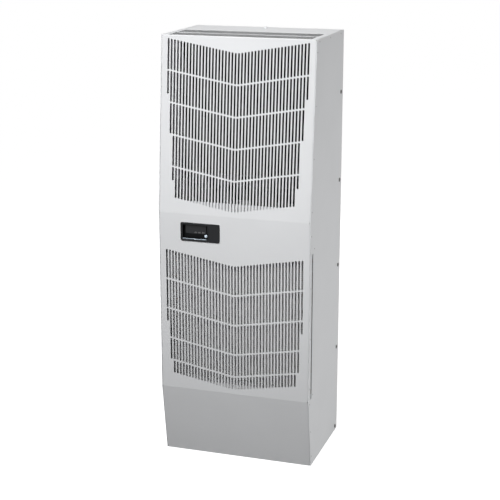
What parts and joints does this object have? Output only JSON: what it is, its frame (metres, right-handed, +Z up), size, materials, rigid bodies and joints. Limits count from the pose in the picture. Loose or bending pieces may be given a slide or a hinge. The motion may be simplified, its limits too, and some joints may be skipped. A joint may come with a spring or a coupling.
{
  "type": "enclosure air conditioner",
  "caption": "Tall wall-mounted cooling unit for an equipment enclosure, with chevron-slotted front grilles, slide-out side filter, recessed controller and rear air openings.",
  "frame": {"origin": "centre of the bounding box at the underside of the base", "axes": "+Z up, -Y out of the slotted front, +Y out of the rear mounting face, +X to the right as seen from the front"},
  "size_m": [0.485, 0.365, 1.326],
  "materials": {
    "shell_paint": "light grey textured powder coat",
    "dark_steel": "black oxide",
    "galvanised": "galvanised sheet",
    "plated_steel": "zinc plated",
    "foam_rubber": "closed-cell foam",
    "foam": "black insulation foam",
    "fin_aluminium": "bare fin stock",
    "motor_aluminium": "die cast",
    "filter_aluminium": "black anodised",
    "filter_media": "layered mesh",
    "copper": "drawn copper",
    "black_paint": "semi-gloss black",
    "rubber": "matt",
    "black_plastic": "matt",
    "pale_plastic": "matt",
    "fan_plastic": "glass-filled, matt",
    "bezel_plastic": "fine-textured, semi-gloss",
    "window_plastic": "smoked, polished",
    "key_plastic": "matt",
    "button_plastic": "polished, pale blue-white"
  },
  "bodies": {
    "cabinet": {"front_panel": "shell_paint", "left_side_panel": "shell_paint", "right_side_panel": "shell_paint", "shroud_screws": "dark_steel", "rear_pan": "galvanised", "rear_gasket": "foam_rubber", "mounting_inserts": "plated_steel", "base_pan": "galvanised", "evaporator_housing": "galvanised", "partition_insulation": "foam", "blower_deck": "shell_paint", "filter_rails": "shell_paint", "condenser_fins": "fin_aluminium", "condenser_tubes": "copper", "condenser_end_plates": "galvanised", "coil_shelf": "galvanised", "compressor_shell": "black_paint", "compressor_feet": "black_paint", "compressor_grommets": "rubber", "compressor_studs": "plated_steel", "compressor_terminal_cover": "black_plastic", "accumulator": "black_paint", "discharge_line": "copper", "liquid_line": "copper", "filter_drier": "copper", "capillary_tube": "copper", "suction_line": "copper", "condenser_fan_motors": "black_paint", "condenser_inlet_rings": "galvanised", "fan_stand": "black_paint", "evaporator_motor": "motor_aluminium", "evaporator_motor_bracket": "galvanised", "evaporator_inlet_ring": "galvanised", "inlet_guard": "plated_steel", "evaporator_fins": "fin_aluminium", "evaporator_tubes": "copper", "evaporator_end_plates": "galvanised", "drain_pan": "galvanised", "drain_tube": "black_plastic", "outlet_guard": "plated_steel", "electrical_box": "galvanised", "electrical_cover": "galvanised", "run_capacitors": "motor_aluminium", "contactor": "black_plastic", "terminal_block": "pale_plastic", "compressor_harness": "rubber", "cable_gland": "black_plastic", "air_sensor": "black_plastic", "controller_bezel": "bezel_plastic", "controller_module": "black_plastic", "display_window": "window_plastic"},
    "filter": {"filter_frame": "filter_aluminium", "filter_mesh": "filter_media"},
    "condenser_fan_left": {"condenser_fan_left": "fan_plastic"},
    "condenser_fan_right": {"condenser_fan_right": "fan_plastic"},
    "evaporator_fan": {"evaporator_fan": "fan_plastic"},
    "control_button": {"control_button": "button_plastic"},
    "key_left": {"key_left": "key_plastic"},
    "key_middle": {"key_middle": "key_plastic"},
    "key_right": {"key_right": "key_plastic"}
  },
  "joints": [
    {"name": "filter_slide", "type": "slide", "parent": "cabinet", "child": "filter", "axis": [1, 0, 0], "range_m": [0, 0.46]},
    {"name": "condenser_fan_left_spin", "type": "hinge", "parent": "cabinet", "child": "condenser_fan_left", "pos_m": [-0.108, -0.078, 0.838], "axis": [0, 0, 1], "continuous": true},
    {"name": "condenser_fan_right_spin", "type": "hinge", "parent": "cabinet", "child": "condenser_fan_right", "pos_m": [0.108, -0.078, 0.838], "axis": [0, 0, 1], "continuous": true},
    {"name": "evaporator_fan_spin", "type": "hinge", "parent": "cabinet", "child": "evaporator_fan", "pos_m": [0, 0.11, 1.12], "axis": [0, 1, 0], "continuous": true},
    {"name": "control_button_press", "type": "slide", "parent": "cabinet", "child": "control_button", "axis": [0, 1, 0], "range_m": [0, 0.0015], "stiffness_N_per_m": 600},
    {"name": "key_left_press", "type": "slide", "parent": "cabinet", "child": "key_left", "axis": [0, 1, 0], "range_m": [0, 0.0008], "stiffness_N_per_m": 800},
    {"name": "key_middle_press", "type": "slide", "parent": "cabinet", "child": "key_middle", "axis": [0, 1, 0], "range_m": [0, 0.0008], "stiffness_N_per_m": 800},
    {"name": "key_right_press", "type": "slide", "parent": "cabinet", "child": "key_right", "axis": [0, 1, 0], "range_m": [0, 0.0008], "stiffness_N_per_m": 800}
  ]
}
